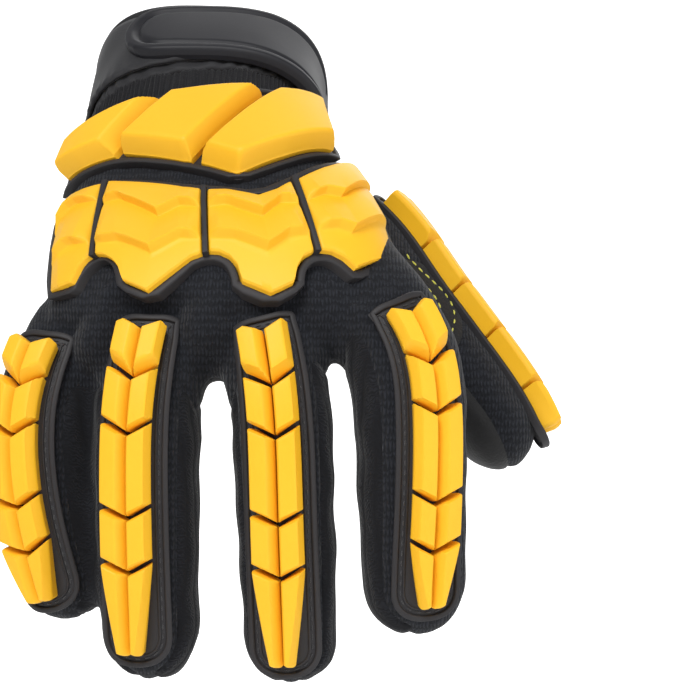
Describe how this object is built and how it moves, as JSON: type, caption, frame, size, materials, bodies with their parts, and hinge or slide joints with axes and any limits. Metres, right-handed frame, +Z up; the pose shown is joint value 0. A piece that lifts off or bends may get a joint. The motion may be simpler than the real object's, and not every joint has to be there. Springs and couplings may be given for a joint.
{
  "type": "anti vibration glove",
  "caption": "Right-hand anti vibration work glove in its worn shape, with yellow impact guards on the back, fingers and thumb, open at a strapped cuff.",
  "frame": {"origin": "centre of the wrist opening, in the plane of the cuff's rolled edge", "axes": "+Z up, with the fingers pointing down along -Z; the backs of the fingers face -Y; +X towards the thumb side; the cuff slopes up and back from the hand, 30 degrees above level"},
  "size_m": [0.1473, 0.1443, 0.1849],
  "materials": {
    "yellow_rubber": "matt moulded rubber",
    "dark_rubber": "matt moulded rubber",
    "tab_rubber": "satin moulded rubber",
    "back_knit": "ribbed knit",
    "finger_twill": "diagonal twill",
    "palm_leather": "synthetic leather with a fine grain",
    "cuff_neoprene": "smooth laminated neoprene",
    "elastic_rib": "gathered elastic rib",
    "strap_web": "woven strap with a loop face"
  },
  "bodies": {
    "root": {"back_panel": "back_knit", "palm_panel": "palm_leather", "fork_wall_ring_middle": "finger_twill", "fork_wall_middle_index": "finger_twill", "fork_wall_little_ring": "finger_twill", "thumb_back": "back_knit", "thumb_palm": "palm_leather", "thumb_patch": "palm_leather", "cuff_binding": "cuff_neoprene", "cuff": "cuff_neoprene", "gather_band": "elastic_rib", "strap": "strap_web", "pull_tab": "tab_rubber", "wrist_plate": "dark_rubber", "wrist_bar_1": "yellow_rubber", "wrist_bar_2": "yellow_rubber", "wrist_bar_3": "yellow_rubber", "knuckle_plate": "dark_rubber", "knuckle_block_1": "yellow_rubber", "knuckle_block_2": "yellow_rubber", "knuckle_block_3": "yellow_rubber", "knuckle_block_4": "yellow_rubber", "index_plate": "dark_rubber", "index_block_1": "yellow_rubber", "index_block_2": "yellow_rubber", "index_block_3": "yellow_rubber", "index_block_4": "yellow_rubber", "index_block_5": "yellow_rubber", "middle_plate": "dark_rubber", "middle_block_1": "yellow_rubber", "middle_block_2": "yellow_rubber", "middle_block_3": "yellow_rubber", "middle_block_4": "yellow_rubber", "middle_block_5": "yellow_rubber", "ring_plate": "dark_rubber", "ring_block_1": "yellow_rubber", "ring_block_2": "yellow_rubber", "ring_block_3": "yellow_rubber", "ring_block_4": "yellow_rubber", "ring_block_5": "yellow_rubber", "little_plate": "dark_rubber", "little_block_1": "yellow_rubber", "little_block_2": "yellow_rubber", "little_block_3": "yellow_rubber", "little_block_4": "yellow_rubber", "little_block_5": "yellow_rubber", "thumb_plate": "dark_rubber", "thumb_block_1": "yellow_rubber", "thumb_block_2": "yellow_rubber", "thumb_block_3": "yellow_rubber", "thumb_block_4": "yellow_rubber", "thumb_block_5": "yellow_rubber"}
  },
  "joints": []
}
